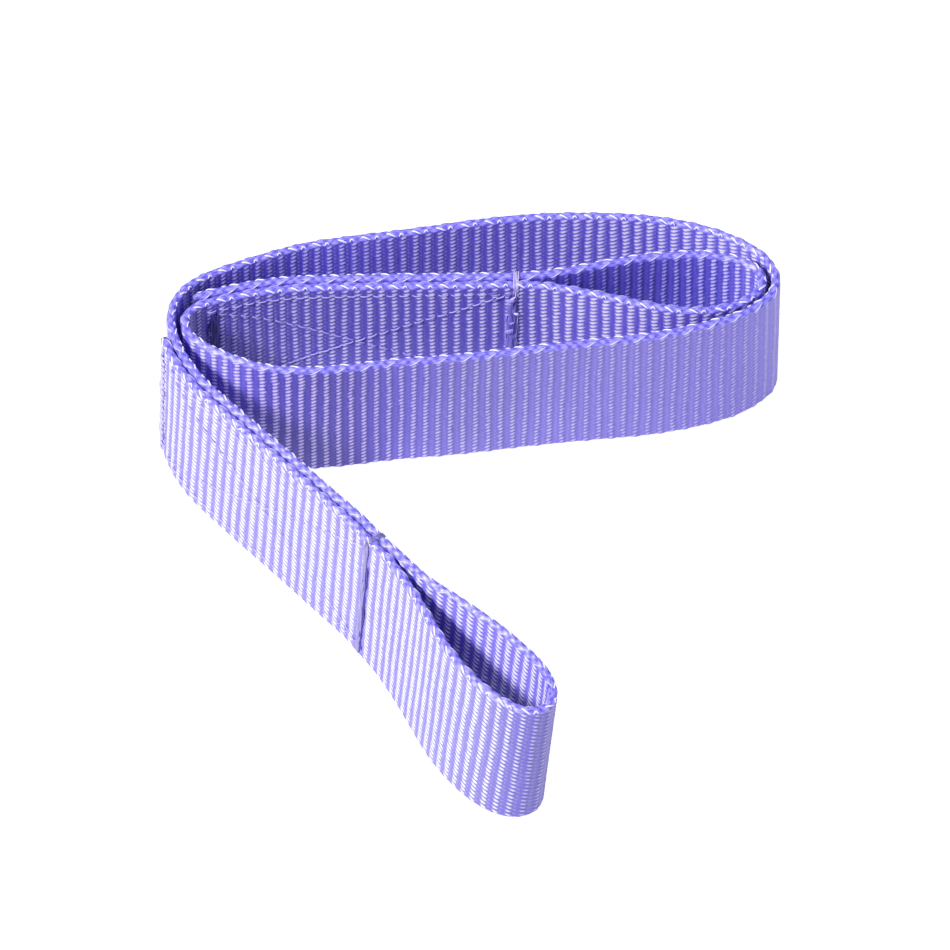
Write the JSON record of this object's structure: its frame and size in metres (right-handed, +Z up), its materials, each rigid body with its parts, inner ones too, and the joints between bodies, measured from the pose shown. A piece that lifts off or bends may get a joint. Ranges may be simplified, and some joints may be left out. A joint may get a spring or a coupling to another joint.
{
  "type": "webbing sling",
  "caption": "Flat woven lifting sling with a sewn eye at each end, standing on its edge in a loose coil.",
  "frame": {"origin": "centre of the part's footprint, on the surface that the webbing's lower edge stands on", "axes": "+Z up, across the width of the webbing; +X along the coil towards the bend that holds the rear eye; +Y away from the front eye"},
  "size_m": [0.1728, 0.17, 0.0509],
  "materials": {
    "webbing": "woven polyester with a soft sheen",
    "thread": "bonded polyester sewing thread"
  },
  "bodies": {
    "coil": {"back_run_webbing": "webbing", "right_bend_webbing": "webbing", "front_run_webbing": "webbing", "inner_bend_webbing": "webbing", "rear_leg_webbing": "webbing", "rear_eye_loop": "webbing", "rear_tail": "webbing", "rear_box_cross_seam": "thread", "rear_throat_bar_tack": "thread", "rear_tail_end_bar_tack": "thread"},
    "front_leg": {"front_leg_webbing": "webbing", "front_tail": "webbing", "front_box_cross_seam": "thread", "front_throat_bar_tack": "thread", "front_tail_end_bar_tack": "thread"},
    "front_eye": {"front_eye_loop": "webbing"}
  },
  "joints": [
    {"name": "front_leg_swing", "type": "hinge", "parent": "coil", "child": "front_leg", "pos_m": [-0.08228, 0.05167, 0], "axis": [0, 0, -1], "range_deg": [0, 120]},
    {"name": "front_eye_swing", "type": "hinge", "parent": "front_leg", "child": "front_eye", "pos_m": [-0.02492, -0.03341, 0], "axis": [0, 0, 1], "range_deg": [-30, 30]}
  ]
}
